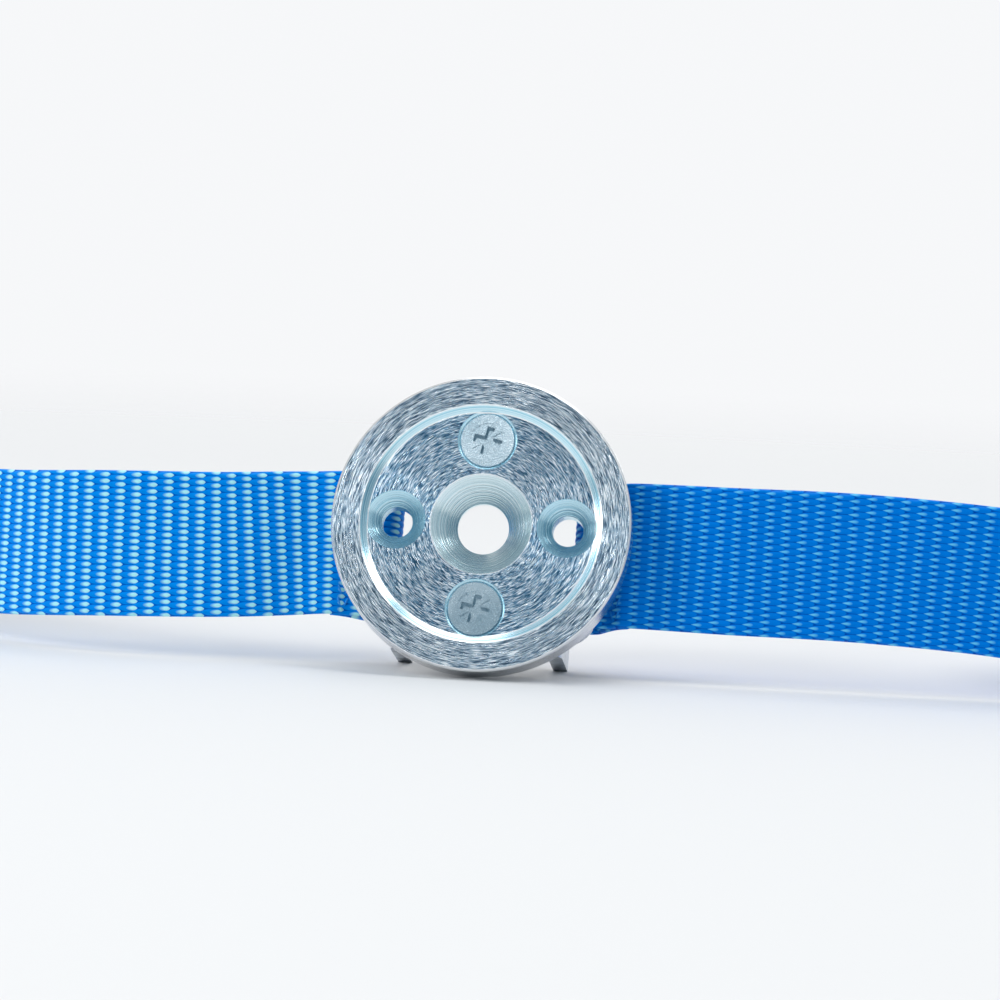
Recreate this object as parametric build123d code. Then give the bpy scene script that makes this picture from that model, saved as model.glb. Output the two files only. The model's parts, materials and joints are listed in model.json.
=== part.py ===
from build123d import *
from math import acos, atan2, cos, degrees, hypot, pi, radians, sin
import os

# A strap tie-down on a small mounting disc.
#
# A turned steel disc leans back on the legs of two U-shaped claws screwed to its back. Two wire bars
# between the claws each hold a loop of 25 mm webbing. The short left strap ends in a ratchet buckle
# that stands on its side, and the spare length of the right strap is rolled up and tied.
#
# Millimetres. The origin is the middle of the disc's centre bore, at the disc's back face. +Z is up,
# the disc faces -Y, and +X is to the right of someone who faces the disc.
#
# The disc and what is fixed to it are built in the disc's own frame, with X across the disc,
# Y backwards through it and Z up along it, and are then leaned back. The buckle is built in its own
# frame, with Z along the spindle, X from the spindle towards the disc and Y backwards.

# ---- mounting disc ----
DISC_R = 25.0
DISC_T = 5.8
FRONT_CHAMFER = 0.35
BACK_CHAMFER = 0.3
RIM_WIDTH = 4.8          # flat rim round the recess
RECESS_DEPTH = 0.8
RECESS_SLOPE = 1.2       # how far the recess's wall leans in towards its floor
BORE_R = 4.3
BORE_MOUTH_R = 8.5
HOLE_R = 2.6
HOLE_MOUTH_R = 5.0
HOLE_INSET = 0.9         # between the recess's edge and the four outer holes' mouths

# ---- countersunk screws, washers and nuts that hold the claws ----
SCREW_R = 2.45
SCREW_HEAD_R = 4.45
SCREW_SUNK = 0.3         # from the recess's floor to a head's face
SCREW_LENGTH = 14.0
SCREW_CHAMFER = 0.5
SCREW_DISH_R = 3.0
SCREW_DISH_DEPTH = 0.15
SCREW_CROSS_ARM = 4.8
SCREW_CROSS_WIDTH = 1.3
SCREW_CROSS_DEPTH = 1.5
SCREW_CROSS_TURN = 12.0
SCREW_NOTCH_ARM = 5.8    # thin cross between the arms of the wide one
SCREW_NOTCH_WIDTH = 0.3
SCREW_NOTCH_DEPTH = 0.4
WASHER_R = 4.6
WASHER_T = 1.1
NUT_FLATS = 8.0
NUT_T = 4.0

# ---- claws ----
CLAW_HALF = 14.4         # from the disc's upright middle line to a leg's outer face
CLAW_T = 2.4
CLAW_REACH = 15.0        # from the disc's back to the ends of the legs
CLAW_INSIDE = 4.8        # from the screw's middle to the claw's edge nearer the disc's middle
CLAW_OUTSIDE = 6.2
CLAW_EDGE = 2.0          # least metal between a bar's hole and a claw's edge
CLAW_BEND_R = 3.0
CLAW_CORNER_R = 0.8

# ---- wire bars ----
WIRE_R = 1.5
BAR_BACK = 8.8           # from the disc's back to a bar's middle
BAR_PLAY = 2.25          # room above and below webbing that hangs in the middle of a bar
BAR_BEND_R = 4.5
BAR_FIT = 0.03           # round a bar's ends in the claws' legs

# ---- webbing ----
WEB_WIDTH = 24.3
WEB_T = 1.3
EYE_GAP = 0.5            # round a bar or the buckle's spacer
EYE_SEAM = 8.0           # from a bar's middle to the end of its sewn seam
SOFT_GAP = 0.2           # between webbing and a hard piece beside it
LEFT_LEAVES = 200.0      # plan direction in which the left strap leaves its bar
RIGHT_LEAVES = -35.0
LEFT_ARRIVES = -8.0      # plan direction from the buckle's bolt along the left strap
RIGHT_DIPS_FROM = 75.0   # X from which the right strap slopes down to its roll
BAND_STATIONS = 16

# ---- ratchet buckle ----
WEB_PLAY = 0.65          # between the webbing's edges and the frame's side plates
PLATE_T = 1.6
SIDE_GAP = 0.2           # between a plate and the wheel beside it
WHEEL_T = 2.2
WHEEL_R = 14.0
TOOTH_DEPTH = 2.4
WHEEL_TEETH = 12
SPINDLE_R = 7.0
SPINDLE_SLOT = 3.0
RUN_GAP = 0.06           # running clearance of turning fits
SPINDLE_WASHER_R = 10.0
SPINDLE_WASHER_T = 0.8
COTTER_R = 0.7
SPINDLE_END = 0.8        # spindle beyond the cotter pins
FRAME_LENGTH = 58.0      # from the spindle to the fixed-end bolt
FRAME_END_R = 7.0
SLOT_WALL = 3.0          # metal beyond a pawl's slot
BASE_T = 1.6
BOLT_R = 3.0
BOLT_HEAD_R = 4.9
BOLT_HEAD_T = 2.2
SPACER_R = 4.2
HANDLE_BEYOND = 30.0     # from the fixed-end bolt to the folded handle's end
GRIP_LENGTH = 22.0
GRIP_T = 11.0
PAWL_T = 2.0
PAWL_TRAVEL = 2.5        # from rest, in to engage and back to release
PAWL_CLEAR = 0.3         # between a resting pawl and the tips of the teeth
SLIDE_GAP = 0.1
SPRING_R = 1.9
SPRING_WIRE_R = 0.25
SPRING_TURNS = 7
PAWL_NOSE = 9.0          # length of the wide part that slides in the side plates
PAWL_BODY = 4.0          # from the wide part to the shoulder that the spring pushes on
SPRING_LENGTH = 12.0
TAB_HALF = 4.0
TAB_RISE = 2.0
TAIL_BEYOND = 4.0
PULL_RISE = 9.0
PULL_HALF = 8.0
BASE_BEFORE_TAB = 11.0
BASE_BEHIND_TAB = 8.0
BRIDGE_BEFORE_TAB = 2.0
BRIDGE_SHORT_OF_END = 8.0
HANDLE_DEPTH = 13.0
GRIP_WALL = 3.0
GRIP_ROUND = 4.0
GRIP_EDGE_ROUND = 2.0
COTTER_BEYOND = 2.0
COTTER_RING_R = 2.6

# ---- rolled-up length of the right strap ----
ROLLED_LENGTH = 1860.0
ROLL_HOLE_R = 6.0
TIE_WIDTH = 10.0
TIE_T = 1.0
ROLL_GAP = 0.1           # between the roll and the stretch of strap that runs onto it


RECESS_R = DISC_R - RIM_WIDTH
RING_R = RECESS_R - HOLE_INSET - HOLE_MOUTH_R
BAR_OUT = CLAW_HALF + SOFT_GAP + WEB_T + EYE_GAP + WIRE_R
BAR_END = WEB_WIDTH / 2 + BAR_PLAY + WIRE_R
CLAW_NEAR = min(RING_R - CLAW_INSIDE, BAR_END - WIRE_R - CLAW_EDGE)
CLAW_FAR = max(RING_R + CLAW_OUTSIDE, BAR_END + WIRE_R + CLAW_EDGE)
WEB_DROP = BAR_PLAY - SOFT_GAP / 4      # the straps have slid down their bars


def leaning_angle():
    """Angle at which the disc's back rim and the lower claw's legs stand on one level."""
    above = DISC_R - (CLAW_FAR - CLAW_CORNER_R)
    behind = CLAW_REACH - CLAW_CORNER_R + BACK_CHAMFER
    return degrees(acos(CLAW_CORNER_R / hypot(above, behind)) - atan2(behind, above))


LEAN = leaning_angle()
LEAN_SIN = sin(radians(LEAN))
LEAN_COS = cos(radians(LEAN))
FLOOR = BACK_CHAMFER * LEAN_SIN - DISC_R * LEAN_COS
DISC_POSE = Location((0, 0, 0), (-LEAN, 0, 0))
RECESS_FLOOR = RECESS_DEPTH - DISC_T

HANDLE_LENGTH = FRAME_LENGTH + HANDLE_BEYOND
INNER_HALF = WEB_WIDTH / 2 + WEB_PLAY
WHEEL_NEAR = INNER_HALF + PLATE_T + SIDE_GAP
HANDLE_NEAR = WHEEL_NEAR + WHEEL_T + SIDE_GAP
WASHER_NEAR = HANDLE_NEAR + PLATE_T + SIDE_GAP
COTTER_HEIGHT = WASHER_NEAR + SPINDLE_WASHER_T + COTTER_R
SPINDLE_HALF = COTTER_HEIGHT + COTTER_R + SPINDLE_END
WHEEL_ROOT_R = WHEEL_R - TOOTH_DEPTH
TOOTH_SHAPE = ((WHEEL_R, 0.28), (WHEEL_R, 0.4), (WHEEL_ROOT_R, 0.93), (WHEEL_ROOT_R, 1.28))
PAWL_OFFSET = WHEEL_R * sin(2 * pi / WHEEL_TEETH)
PAWL_REST = (WHEEL_R**2 - (PAWL_OFFSET - PAWL_T / 2) ** 2) ** 0.5 + PAWL_CLEAR
SPRING_START = PAWL_REST + PAWL_NOSE + PAWL_BODY
TAB_X = SPRING_START + SPRING_LENGTH
EAR_R = PAWL_OFFSET + PAWL_T / 2 + SLOT_WALL
BOLT_Q = FRAME_END_R - EAR_R

# Where the straps run beyond the disc: X, Y, and how far the left one sags below a straight line.
LEFT_ROUTE = [(-32, 4.4, 0.6), (-44, 1.0, 1.4), (-56, -0.3, 2.0), (-66, 0.2, 2.6), (-75, 2.6, 3.4),
              (-84, 7.2, 4.2), (-96, 14.8, 4.4), (-108, 21.5, 2.8), (-117, 26.0, 1.2)]
RIGHT_PLAN = [(33, 2.9), (42, 2.3), (64, 2.0), (90, 2.0), (107, 2.0)]
BOLT_X = -138.0
BOLT_Y = 30.0
ROLL_X = 128.0

BUCKLE_HEIGHT = FLOOR + SPINDLE_HALF
BUCKLE_POSE = Pos(BOLT_X - FRAME_LENGTH, BOLT_Y - BOLT_Q, BUCKLE_HEIGHT)
ROLL_R = (ROLL_HOLE_R**2 + ROLLED_LENGTH * WEB_T / pi) ** 0.5
ROLL_LEVEL = FLOOR + TIE_T + WEB_WIDTH / 2
ROLL_Y = RIGHT_PLAN[-1][1] + WEB_T / 2 + ROLL_GAP + ROLL_R
ROLL_POSE = Pos(ROLL_X, ROLL_Y, ROLL_LEVEL - WEB_WIDTH / 2)


def along_y(shape):
    """Turn a shape made along +Z so that it lies along +Y."""
    return Rot(X=-90) * shape


def rod(radius, length):
    """A round bar along +Z that starts at the origin."""
    return Cylinder(radius, length, align=(Align.CENTER, Align.CENTER, Align.MIN))


def block(x, y, z):
    """A box between two limits along each axis."""
    size = (x[1] - x[0], y[1] - y[0], z[1] - z[0])
    return Pos(x[0], y[0], z[0]) * Box(*size, align=(Align.MIN, Align.MIN, Align.MIN))


def cone(start_r, end_r, length):
    """A cone along +Z that starts at the origin."""
    return Cone(start_r, end_r, length, align=(Align.CENTER, Align.CENTER, Align.MIN))


def countersink(mouth_r, bore_r):
    """The cone of a 90 degree countersink, mouth at the origin and narrowing along +Y."""
    return along_y(cone(mouth_r, bore_r, mouth_r - bore_r))


# ---- disc assembly, in the disc's frame ----

def mounting_disc():
    """Round plate with a shallow recess in its face and five countersunk holes."""
    plate = rod(DISC_R, DISC_T)
    plate = chamfer(plate.edges().filter_by(GeomType.CIRCLE).sort_by(Axis.Z)[0], FRONT_CHAMFER)
    plate = chamfer(plate.edges().filter_by(GeomType.CIRCLE).sort_by(Axis.Z)[-1], BACK_CHAMFER)
    disc = Pos(0, -DISC_T, 0) * along_y(plate)
    disc -= Pos(0, -DISC_T, 0) * along_y(cone(RECESS_R, RECESS_R - RECESS_SLOPE, RECESS_DEPTH))
    holes = [(0, 0, BORE_MOUTH_R, BORE_R)]
    for across, up in ((-RING_R, 0), (RING_R, 0), (0, -RING_R), (0, RING_R)):
        holes.append((across, up, HOLE_MOUTH_R, HOLE_R))
    for across, up, mouth_r, bore_r in holes:
        disc -= Pos(across, -DISC_T, up) * along_y(rod(mouth_r, RECESS_DEPTH))
        disc -= Pos(across, RECESS_FLOOR, up) * countersink(mouth_r, bore_r)
        disc -= Pos(across, -DISC_T, up) * along_y(rod(bore_r, DISC_T))
    return disc


def disc_screw(side):
    """Countersunk screw with a cross recess, its head sunk into its seat in the disc."""
    land = HOLE_MOUTH_R - SCREW_HEAD_R - SCREW_SUNK
    shank = rod(SCREW_R, SCREW_LENGTH)
    shank = chamfer(shank.edges().filter_by(GeomType.CIRCLE).sort_by(Axis.Z)[-1], SCREW_CHAMFER)
    screw = along_y(shank) + Pos(0, land, 0) * countersink(SCREW_HEAD_R, SCREW_R)
    screw += along_y(rod(SCREW_HEAD_R, land))
    screw -= along_y(rod(SCREW_DISH_R, SCREW_DISH_DEPTH))
    crosses = ((SCREW_CROSS_ARM, SCREW_CROSS_WIDTH, SCREW_CROSS_DEPTH, SCREW_CROSS_TURN),
               (SCREW_NOTCH_ARM, SCREW_NOTCH_WIDTH, SCREW_NOTCH_DEPTH, SCREW_CROSS_TURN + 45))
    for arm, width, depth, first_turn in crosses:
        slot = block((-arm / 2, arm / 2), (0, depth), (-width / 2, width / 2))
        for turn in (first_turn, first_turn + 90):
            screw -= Rot(Y=turn) * slot
    return Pos(0, RECESS_FLOOR + SCREW_SUNK, side * RING_R) * screw


def claw(side):
    """U-shaped strip with its base on the disc's back and its two legs pointing backwards."""
    outer = Rectangle(2 * CLAW_HALF, CLAW_REACH, align=(Align.CENTER, Align.MIN))
    outer = fillet(outer.vertices().group_by(Axis.Y)[0], CLAW_BEND_R)
    inner = Rectangle(2 * (CLAW_HALF - CLAW_T), CLAW_REACH, align=(Align.CENTER, Align.MIN))
    inner = fillet(inner.vertices().group_by(Axis.Y)[0], CLAW_BEND_R - CLAW_T)
    width = CLAW_FAR - CLAW_NEAR
    strip = extrude(outer - Pos(0, CLAW_T) * inner, width)
    leg_ends = strip.faces().sort_by(Axis.Y)[-2:]
    strip = fillet(leg_ends.edges().filter_by(Axis.X), CLAW_CORNER_R)
    low = CLAW_NEAR if side > 0 else -CLAW_FAR
    strip = Pos(0, 0, low) * strip
    strip -= Pos(0, 0, side * RING_R) * along_y(rod(HOLE_R, CLAW_T))
    bar_hole = Rot(Y=90) * Cylinder(WIRE_R + BAR_FIT, 2 * CLAW_HALF + 1)
    strip -= Pos(0, BAR_BACK, side * BAR_END) * bar_hole
    return strip


def claw_washer(side):
    """Split spring washer under a claw's nut."""
    ring = rod(WASHER_R, WASHER_T) - rod(HOLE_R, WASHER_T)
    split = block((0, WASHER_R), (-WASHER_T / 4, WASHER_T / 4), (0, WASHER_T))
    return Pos(0, CLAW_T, side * RING_R) * along_y(ring - split)


def claw_nut(side):
    """Hexagon nut on a disc screw's end."""
    nut = extrude(RegularPolygon(NUT_FLATS / 2, 6, major_radius=False), NUT_T)
    nut &= cone(NUT_FLATS / 2 + 2 * NUT_T, NUT_FLATS / 2, NUT_T)
    nut -= rod(SCREW_R, NUT_T)
    return Pos(0, CLAW_T + WASHER_T, side * RING_R) * along_y(nut)


def strap_bar(side, radius=WIRE_R):
    """Wire bent to a U, its ends plugged into the two claws' legs on one side."""
    inner_face = side * (CLAW_HALF - CLAW_T)
    out = side * BAR_OUT
    corners = [(inner_face, BAR_BACK, BAR_END), (out, BAR_BACK, BAR_END),
               (out, BAR_BACK, -BAR_END), (inner_face, BAR_BACK, -BAR_END)]
    path = FilletPolyline(*corners, radius=BAR_BEND_R)
    section = Plane(origin=path @ 0, z_dir=path % 0) * Circle(radius)
    return sweep(section, path=path)


# ---- webbing ----

def eye_outline(core_r, direction, seam):
    """Plan outline of a loop round a core, with its two layers sewn together along a seam."""
    tail = Pos(seam / 2, 0) * Rectangle(seam, 2 * WEB_T)
    outline = Circle(core_r + EYE_GAP + WEB_T) + tail - Circle(core_r + EYE_GAP)
    return Rot(Z=direction) * outline


def bar_eye(side, direction):
    """The sewn loop of webbing round one of the disc's bars."""
    outline = Pos(side * BAR_OUT, BAR_BACK) * eye_outline(WIRE_R, direction, EYE_SEAM)
    eye = Pos(0, 0, -WEB_DROP - WEB_WIDTH / 2) * extrude(outline, WEB_WIDTH)
    return DISC_POSE * (eye - strap_bar(side, WIRE_R + RUN_GAP))


def seam_end(side, direction):
    """Where the strap's front layer runs on past the seam of a bar's eye."""
    turn = radians(direction)
    across = side * BAR_OUT + EYE_SEAM * cos(turn)
    back = BAR_BACK + EYE_SEAM * sin(turn)
    front_layer = (side * sin(turn) * WEB_T / 2, -side * cos(turn) * WEB_T / 2)
    return (DISC_POSE * Pos(across + front_layer[0], back + front_layer[1], -WEB_DROP)).position


def band(points):
    """A ribbon of webbing along a curve, leaning like the disc at its start, upright at its end."""
    curve = Spline(*points)
    sections = []
    for step in range(BAND_STATIONS + 1):
        share = step / BAND_STATIONS
        ahead = (curve % share).normalized()
        lean = radians(LEAN * (1 - share) ** 2)
        up = Vector(0, sin(lean), cos(lean))
        up = (up - ahead * up.dot(ahead)).normalized()
        section = Plane(origin=curve @ share, x_dir=up, z_dir=ahead)
        sections.append(section * Rectangle(WEB_WIDTH, WEB_T))
    return loft(sections, ruled=True)


def left_strap():
    """Short strap from the left bar to the buckle's fixed end, sagging a little between them."""
    start = seam_end(-1, LEFT_LEAVES)
    reach = EYE_SEAM + SPACER_R
    turn = radians(LEFT_ARRIVES)
    end = Vector(BOLT_X + reach * cos(turn), BOLT_Y + reach * sin(turn) - WEB_T / 2, BUCKLE_HEIGHT)
    points = [start]
    for x, y, sag in LEFT_ROUTE:
        share = (x - start.X) / (end.X - start.X)
        points.append(Vector(x, y, start.Z + (end.Z - start.Z) * share - sag))
    strap = band(points + [end])
    outline = Pos(BOLT_X, BOLT_Y) * eye_outline(SPACER_R, LEFT_ARRIVES, reach)
    far_eye = Pos(0, 0, BUCKLE_HEIGHT - WEB_WIDTH / 2) * extrude(outline, WEB_WIDTH)
    return bar_eye(-1, LEFT_LEAVES) + strap + far_eye


def right_strap():
    """Long strap from the right bar to where it meets its own roll."""
    start = seam_end(1, RIGHT_LEAVES)
    end = Vector(ROLL_X, RIGHT_PLAN[-1][1], ROLL_LEVEL)
    points = [start]
    for x, y in RIGHT_PLAN:
        share = max(0, (x - RIGHT_DIPS_FROM) / (end.X - RIGHT_DIPS_FROM))
        points.append(Vector(x, y, start.Z + (end.Z - start.Z) * share**2 * (3 - 2 * share)))
    return bar_eye(1, RIGHT_LEAVES) + band(points + [end])


def right_strap_roll():
    """The spare length of the right strap, rolled up and stood on its edge."""
    roll = rod(ROLL_R, WEB_WIDTH) - rod(ROLL_HOLE_R, WEB_WIDTH)
    return ROLL_POSE * roll


def roll_tie():
    """Hook-and-loop tie through the roll's middle and round its far side."""
    side = (-TIE_WIDTH / 2, TIE_WIDTH / 2)
    reach = (ROLL_HOLE_R - TIE_T, ROLL_R + TIE_T)
    tie = block(side, reach, (-TIE_T, WEB_WIDTH + TIE_T))
    roll = rod(ROLL_R, WEB_WIDTH) - rod(ROLL_HOLE_R, WEB_WIDTH)
    return ROLL_POSE * (tie - roll)


# ---- ratchet buckle, in its own frame ----

def mirrored(half):
    """A shape and its mirror image below the buckle's middle plane."""
    return half + mirror(half, about=Plane.XY)


def pawl_slot(side):
    """Outline of the slot in a side plate that a pawl slides in."""
    start = PAWL_REST - PAWL_TRAVEL - SLIDE_GAP
    end = PAWL_REST + PAWL_NOSE + PAWL_TRAVEL + SLIDE_GAP
    return Pos((start + end) / 2, side * PAWL_OFFSET) * Rectangle(end - start, PAWL_T + 2 * SLIDE_GAP)


def tail_tab(side, edge):
    """Upper half of the tab that stands up from a plate's edge and guides a pawl's tail."""
    past_tail = side * (PAWL_OFFSET - PAWL_T - TAB_RISE)
    tab = block((TAB_X, TAB_X + PLATE_T), sorted((edge, past_tail)), (0, TAB_HALF))
    hole = PAWL_T / 2 + SLIDE_GAP
    middle = side * PAWL_OFFSET
    return tab - block((TAB_X, TAB_X + PLATE_T), (middle - hole, middle + hole), (0, hole))


def buckle_frame():
    """Two side plates joined by a base, with a tab that carries the pawl's tail and spring."""
    low = -EAR_R
    high = low + 2 * FRAME_END_R
    plate = Circle(EAR_R) + Pos(FRAME_LENGTH, BOLT_Q) * Circle(FRAME_END_R)
    plate += Pos(FRAME_LENGTH / 2, (low + high) / 2) * Rectangle(FRAME_LENGTH, high - low)
    plate -= Circle(SPINDLE_R + RUN_GAP)
    plate -= Pos(FRAME_LENGTH, BOLT_Q) * Circle(BOLT_R)
    plate -= pawl_slot(-1)
    half = Pos(0, 0, INNER_HALF) * extrude(plate, PLATE_T)
    base_x = (TAB_X - BASE_BEFORE_TAB, TAB_X + BASE_BEHIND_TAB)
    base = block(base_x, (low, low + BASE_T), (0, INNER_HALF + PLATE_T))
    return mirrored(half + base + tail_tab(-1, low))


def handle_frame():
    """Two long side plates joined by a bridge on the side away from the buckle's base."""
    high = EAR_R
    low = high - HANDLE_DEPTH
    plate = Circle(EAR_R)
    plate += Pos(HANDLE_LENGTH / 2, (low + high) / 2) * Rectangle(HANDLE_LENGTH, high - low)
    plate -= Circle(SPINDLE_R + RUN_GAP)
    plate -= pawl_slot(1)
    half = Pos(0, 0, HANDLE_NEAR) * extrude(plate, PLATE_T)
    bridge_x = (TAB_X - BRIDGE_BEFORE_TAB, HANDLE_LENGTH - BRIDGE_SHORT_OF_END)
    bridge = block(bridge_x, (high - PLATE_T, high), (0, HANDLE_NEAR + PLATE_T))
    return mirrored(half + bridge + tail_tab(1, high))


def handle_grip():
    """Moulded grip pushed on the handle's end, with rounded edges."""
    start = HANDLE_LENGTH - GRIP_LENGTH
    middle = EAR_R - HANDLE_DEPTH / 2
    across = (middle - GRIP_T / 2 - HANDLE_DEPTH / 4, middle + GRIP_T / 2 + HANDLE_DEPTH / 4)
    grip = block((start, HANDLE_LENGTH + GRIP_WALL), across, (-SPINDLE_HALF, SPINDLE_HALF))
    grip = fillet(grip.edges().filter_by(Axis.Z), GRIP_ROUND)
    grip = fillet(grip.faces().sort_by(Axis.Z)[0].edges() + grip.faces().sort_by(Axis.Z)[-1].edges(),
                  GRIP_EDGE_ROUND)
    return grip - handle_frame()


def pawl(body_end):
    """Flat sliding plate: a wide nose that meets both wheels, a body and a thin tail."""
    half_t = PAWL_T / 2
    nose_half = HANDLE_NEAR - SLIDE_GAP
    nose = block((PAWL_REST, PAWL_REST + PAWL_NOSE), (-half_t, half_t), (-nose_half, nose_half))
    body_half = INNER_HALF - 2 * SLIDE_GAP
    body = block((PAWL_REST + PAWL_NOSE, body_end), (-half_t, half_t), (-body_half, body_half))
    tail = block((body_end, TAB_X + PLATE_T + TAIL_BEYOND), (-half_t, half_t), (-half_t, half_t))
    return nose + body + tail


def frame_pawl():
    """Locking pawl that slides in the frame's slots and stops the wheels from turning back."""
    return Pos(0, -PAWL_OFFSET) * pawl(SPRING_START)


def handle_pawl():
    """Driving pawl that slides in the handle's slots, with an upturned finger pull."""
    ears_half = HANDLE_NEAR + PLATE_T - SLIDE_GAP
    half_t = PAWL_T / 2
    ears = block((PAWL_REST, PAWL_REST + PAWL_NOSE), (-half_t, half_t), (-ears_half, ears_half))
    pull = block((SPRING_START - PAWL_T, SPRING_START), (-half_t, PULL_RISE), (-PULL_HALF, PULL_HALF))
    return Pos(0, PAWL_OFFSET) * (pawl(SPRING_START) + ears + pull)


def pawl_spring(side):
    """Coil spring round a pawl's tail, between its body and the tab."""
    length = TAB_X - SPRING_START - 2 * (SPRING_WIRE_R + SLIDE_GAP)
    helix = Helix(pitch=length / SPRING_TURNS, height=length, radius=SPRING_R)
    wire = sweep(Plane(origin=helix @ 0, z_dir=helix % 0) * Circle(SPRING_WIRE_R), path=helix)
    start = SPRING_START + SPRING_WIRE_R + SLIDE_GAP
    return Pos(start, side * PAWL_OFFSET) * Rot(Y=90) * wire


def fixed_end_bolt():
    """Round-headed bolt that holds the fixed strap between the frame's side plates."""
    outside = INNER_HALF + PLATE_T
    head = Pos(0, 0, outside) * rod(BOLT_HEAD_R, BOLT_HEAD_T)
    head = fillet(head.edges().filter_by(GeomType.CIRCLE).sort_by(Axis.Z)[-1], BOLT_HEAD_T / 2)
    shank = Pos(0, 0, -outside - BOLT_HEAD_T) * rod(BOLT_R, 2 * outside + BOLT_HEAD_T)
    return Pos(FRAME_LENGTH, BOLT_Q) * (shank + head)


def fixed_end_spacer():
    """Tube round the bolt that keeps the side plates apart and carries the strap's loop."""
    length = 2 * (INNER_HALF - SLIDE_GAP)
    tube = rod(SPACER_R, length) - rod(BOLT_R + RUN_GAP, length)
    return Pos(FRAME_LENGTH, BOLT_Q, -length / 2) * tube


def fixed_end_nut():
    """Thin hexagon nut on the bolt."""
    nut = extrude(RegularPolygon(BOLT_HEAD_R, 6), BOLT_HEAD_T) - rod(BOLT_R, BOLT_HEAD_T)
    return Pos(FRAME_LENGTH, BOLT_Q, -INNER_HALF - PLATE_T - BOLT_HEAD_T) * nut


def spindle_half(side):
    """One of the two half-round bars that grip the webbing between them."""
    bar = Cylinder(SPINDLE_R, 2 * SPINDLE_HALF)
    bar &= block((-SPINDLE_R, SPINDLE_R), (SPINDLE_SLOT / 2, SPINDLE_R), (-SPINDLE_HALF, SPINDLE_HALF))
    for height in (-COTTER_HEIGHT, COTTER_HEIGHT):
        bar -= Pos(0, 0, height) * along_y(Cylinder(COTTER_R, 4 * SPINDLE_R))
    return bar if side > 0 else Rot(Z=180) * bar


def wheel_outline():
    """Saw-toothed outline, each tooth with a steep flank and a long back."""
    pitch = 360 / WHEEL_TEETH
    corners = []
    for tooth in range(WHEEL_TEETH):
        for radius, share in TOOTH_SHAPE:
            turn = radians((tooth + share) * pitch)
            corners.append((radius * cos(turn), radius * sin(turn)))
    return make_face(Polyline(*corners, close=True))


def ratchet_wheel(side):
    """Toothed wheel on both spindle halves, which fit its two half-round holes."""
    hole = Circle(SPINDLE_R + RUN_GAP)
    hole -= Rectangle(2 * SPINDLE_R + 1, SPINDLE_SLOT - 2 * RUN_GAP)
    wheel = extrude(wheel_outline() - hole, WHEEL_T)
    return Pos(0, 0, WHEEL_NEAR if side > 0 else -WHEEL_NEAR - WHEEL_T) * wheel


def spindle_washer(side):
    """Washer between the handle and a cotter pin."""
    washer = rod(SPINDLE_WASHER_R, SPINDLE_WASHER_T) - rod(SPINDLE_R + RUN_GAP, SPINDLE_WASHER_T)
    return Pos(0, 0, WASHER_NEAR if side > 0 else -WASHER_NEAR - SPINDLE_WASHER_T) * washer


def cotter_pin(side):
    """Round pin through both spindle halves, with a ring at one end."""
    reach = SPINDLE_R + COTTER_BEYOND
    pin = along_y(Cylinder(COTTER_R, 2 * reach))
    ring = Pos(0, -reach - COTTER_RING_R + COTTER_R) * Torus(COTTER_RING_R, COTTER_R)
    return Pos(0, 0, side * COTTER_HEIGHT) * (pin + ring)


def save(name, solid):
    """Write one named piece."""
    solid.label = name
    export_step(solid, f"parts/{name}.step")


os.makedirs("parts", exist_ok=True)

save("mounting_disc", DISC_POSE * mounting_disc())
for name, side in (("upper", 1), ("lower", -1)):
    save(f"disc_screw_{name}", DISC_POSE * disc_screw(side))
    save(f"{name}_claw", DISC_POSE * claw(side))
    save(f"claw_washer_{name}", DISC_POSE * claw_washer(side))
    save(f"claw_nut_{name}", DISC_POSE * claw_nut(side))
    save(f"ratchet_wheel_{name}", BUCKLE_POSE * ratchet_wheel(side))
    save(f"spindle_washer_{name}", BUCKLE_POSE * spindle_washer(side))
    save(f"cotter_pin_{name}", BUCKLE_POSE * cotter_pin(side))
for name, side in (("right", 1), ("left", -1)):
    save(f"strap_bar_{name}", DISC_POSE * strap_bar(side))
for name, side in (("back", 1), ("front", -1)):
    save(f"spindle_half_{name}", BUCKLE_POSE * spindle_half(side))

save("left_strap", left_strap())
save("right_strap", right_strap())
save("right_strap_roll", right_strap_roll())
save("roll_tie", roll_tie())
save("buckle_frame", BUCKLE_POSE * buckle_frame())
save("fixed_end_bolt", BUCKLE_POSE * fixed_end_bolt())
save("fixed_end_spacer", BUCKLE_POSE * fixed_end_spacer())
save("fixed_end_nut", BUCKLE_POSE * fixed_end_nut())
save("frame_pawl", BUCKLE_POSE * frame_pawl())
save("frame_pawl_spring", BUCKLE_POSE * pawl_spring(-1))
save("handle_frame", BUCKLE_POSE * handle_frame())
save("handle_grip", BUCKLE_POSE * handle_grip())
save("handle_pawl", BUCKLE_POSE * handle_pawl())
save("handle_pawl_spring", BUCKLE_POSE * pawl_spring(1))

print(f"lean {LEAN:.3f} degrees, floor {FLOOR:.3f}, buckle height {BUCKLE_HEIGHT:.3f}")
print(f"roll radius {ROLL_R:.2f}, spindle half length {SPINDLE_HALF:.2f}, pawl at rest {PAWL_REST:.2f}")
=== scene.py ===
import json
import logging
import math
from collections.abc import Callable
from dataclasses import dataclass
from enum import Enum

import bmesh
import bpy
from mathutils import Matrix, Vector


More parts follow.
